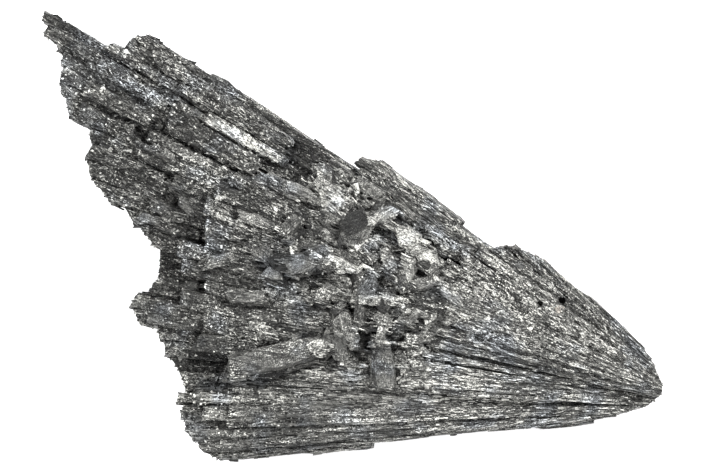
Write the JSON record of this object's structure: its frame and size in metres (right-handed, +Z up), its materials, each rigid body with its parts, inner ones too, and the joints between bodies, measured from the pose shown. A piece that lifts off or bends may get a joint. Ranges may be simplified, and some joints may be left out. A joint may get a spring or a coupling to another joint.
{
  "type": "black kyanite crystal fan",
  "caption": "Natural fan of dark grey blade crystals grown together: flat striated blades spread from a rounded root to a ragged, stepped edge.",
  "frame": {"origin": "on the flat that the fan rests on, under the middle of its outline", "axes": "+Z up from the surface that the fan lies on, +X towards the root where the blades meet, -X towards the ragged edge"},
  "size_m": [0.093, 0.0677, 0.0203],
  "materials": {
    "kyanite": "dark grey to black, striated, with silvery glints"
  },
  "bodies": {
    "root": {"kyanite_fan": "kyanite"}
  },
  "joints": []
}
